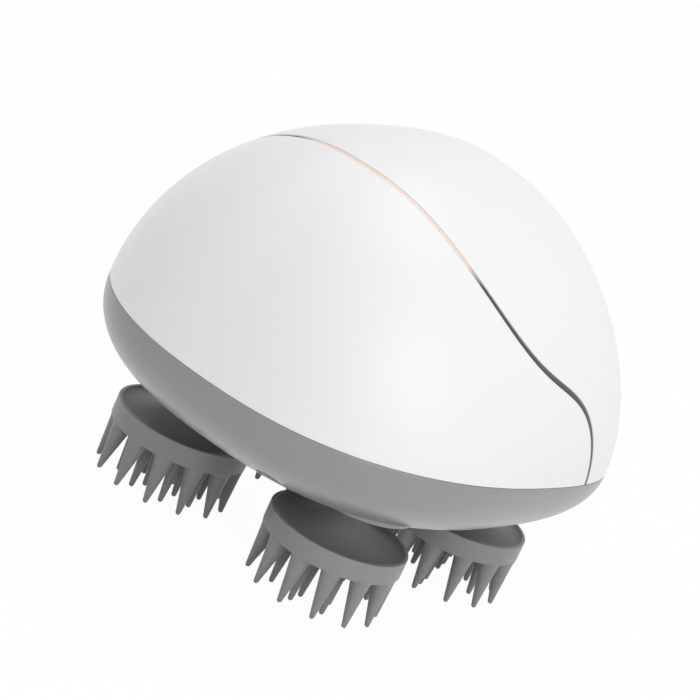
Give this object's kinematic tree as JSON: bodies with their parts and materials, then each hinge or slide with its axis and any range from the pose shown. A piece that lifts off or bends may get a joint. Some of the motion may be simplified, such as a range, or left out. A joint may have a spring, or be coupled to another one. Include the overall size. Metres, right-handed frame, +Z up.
{
  "type": "scalp massager",
  "caption": "Hand-held electric scalp massager: white egg-shaped shell over a grey base with spinning silicone claw heads, a rear power button and a charging inlet.",
  "frame": {"origin": "on the surface that the claw tips stand on, under the middle of the housing", "axes": "+Z up, -Y towards the front cover, +X to the right seen from the front"},
  "size_m": [0.109, 0.126, 0.1],
  "materials": {
    "cover_white": "smooth satin gloss moulded shell",
    "housing_grey": "smooth glossy grey moulding",
    "trim_metal": "polished rose-toned metal strip",
    "seal_rubber": "matt black rubber",
    "gasket_grey": "grey rubber, close to the base in tone",
    "frame_plastic": "matt dark moulding",
    "screw_steel": "zinc-plated steel",
    "motor_steel": "drawn steel can",
    "shaft_steel": "ground steel",
    "gear_plastic": "natural acetal",
    "cell_wrap": "shrink-wrapped cell",
    "board_green": "solder mask over glass laminate",
    "button_white": "smooth gloss moulding",
    "switch_black": "matt black moulding",
    "claw_silicone": "soft matt-satin grey silicone",
    "disc_plastic": "dark grey moulding with a soft gloss",
    "bush_brass": "turned brass"
  },
  "bodies": {
    "housing": {"base_housing": "housing_grey", "front_cover": "cover_white", "rear_cover": "cover_white", "trim_strip": "trim_metal", "seam_gasket": "gasket_grey", "gear_plate": "frame_plastic", "gear_plate_screws": "screw_steel", "cover_screws": "screw_steel", "drive_motor": "motor_steel", "motor_gearbox": "motor_steel", "motor_screws": "screw_steel", "battery_cell": "cell_wrap", "battery_cradle": "frame_plastic", "control_board": "board_green", "board_screws": "screw_steel", "button_bezel": "housing_grey", "power_switch": "switch_black", "switch_board": "board_green", "switch_screws": "screw_steel", "charging_socket": "switch_black", "lower_bush_front_left": "bush_brass", "upper_bush_front_left": "bush_brass", "shaft_seal_front_left": "seal_rubber", "lower_bush_front_right": "bush_brass", "upper_bush_front_right": "bush_brass", "shaft_seal_front_right": "seal_rubber", "lower_bush_rear_right": "bush_brass", "upper_bush_rear_right": "bush_brass", "shaft_seal_rear_right": "seal_rubber", "lower_bush_rear_left": "bush_brass", "upper_bush_rear_left": "bush_brass", "shaft_seal_rear_left": "seal_rubber"},
    "drive": {"drive_shaft": "shaft_steel", "drive_pinion": "gear_plastic"},
    "button": {"power_button": "button_white", "switch_plunger": "switch_black"},
    "head_front_left": {"claw_pad_front_left": "claw_silicone", "head_disc_front_left": "disc_plastic", "disc_screw_front_left": "screw_steel", "spindle_front_left": "shaft_steel", "head_gear_front_left": "gear_plastic"},
    "head_front_right": {"claw_pad_front_right": "claw_silicone", "head_disc_front_right": "disc_plastic", "disc_screw_front_right": "screw_steel", "spindle_front_right": "shaft_steel", "head_gear_front_right": "gear_plastic"},
    "head_rear_right": {"claw_pad_rear_right": "claw_silicone", "head_disc_rear_right": "disc_plastic", "disc_screw_rear_right": "screw_steel", "spindle_rear_right": "shaft_steel", "head_gear_rear_right": "gear_plastic"},
    "head_rear_left": {"claw_pad_rear_left": "claw_silicone", "head_disc_rear_left": "disc_plastic", "disc_screw_rear_left": "screw_steel", "spindle_rear_left": "shaft_steel", "head_gear_rear_left": "gear_plastic"}
  },
  "joints": [
    {"name": "drive_spin", "type": "hinge", "parent": "housing", "child": "drive", "pos_m": [0, 0.003, 0.036], "axis": [0, 0, 1], "continuous": true},
    {"name": "head_spin_front_left", "type": "hinge", "parent": "housing", "child": "head_front_left", "pos_m": [-0.0235, -0.0225, 0.036], "axis": [0, 0, 1], "continuous": true},
    {"name": "head_spin_front_right", "type": "hinge", "parent": "housing", "child": "head_front_right", "pos_m": [0.0235, -0.0225, 0.036], "axis": [0, 0, 1], "continuous": true},
    {"name": "head_spin_rear_right", "type": "hinge", "parent": "housing", "child": "head_rear_right", "pos_m": [0.0235, 0.0285, 0.036], "axis": [0, 0, 1], "continuous": true},
    {"name": "head_spin_rear_left", "type": "hinge", "parent": "housing", "child": "head_rear_left", "pos_m": [-0.0235, 0.0285, 0.036], "axis": [0, 0, 1], "continuous": true},
    {"name": "button_press", "type": "slide", "parent": "housing", "child": "button", "axis": [0, -0.887, -0.4618], "range_m": [0, 0.0006], "stiffness_N_per_m": 900, "springref_m": -0.001}
  ],
  "couplings": [
    {"joint": "head_spin_front_left", "follows": "drive_spin", "ratio": -0.86667},
    {"joint": "head_spin_front_right", "follows": "drive_spin", "ratio": -0.86667},
    {"joint": "head_spin_rear_right", "follows": "drive_spin", "ratio": -0.86667},
    {"joint": "head_spin_rear_left", "follows": "drive_spin", "ratio": -0.86667}
  ]
}
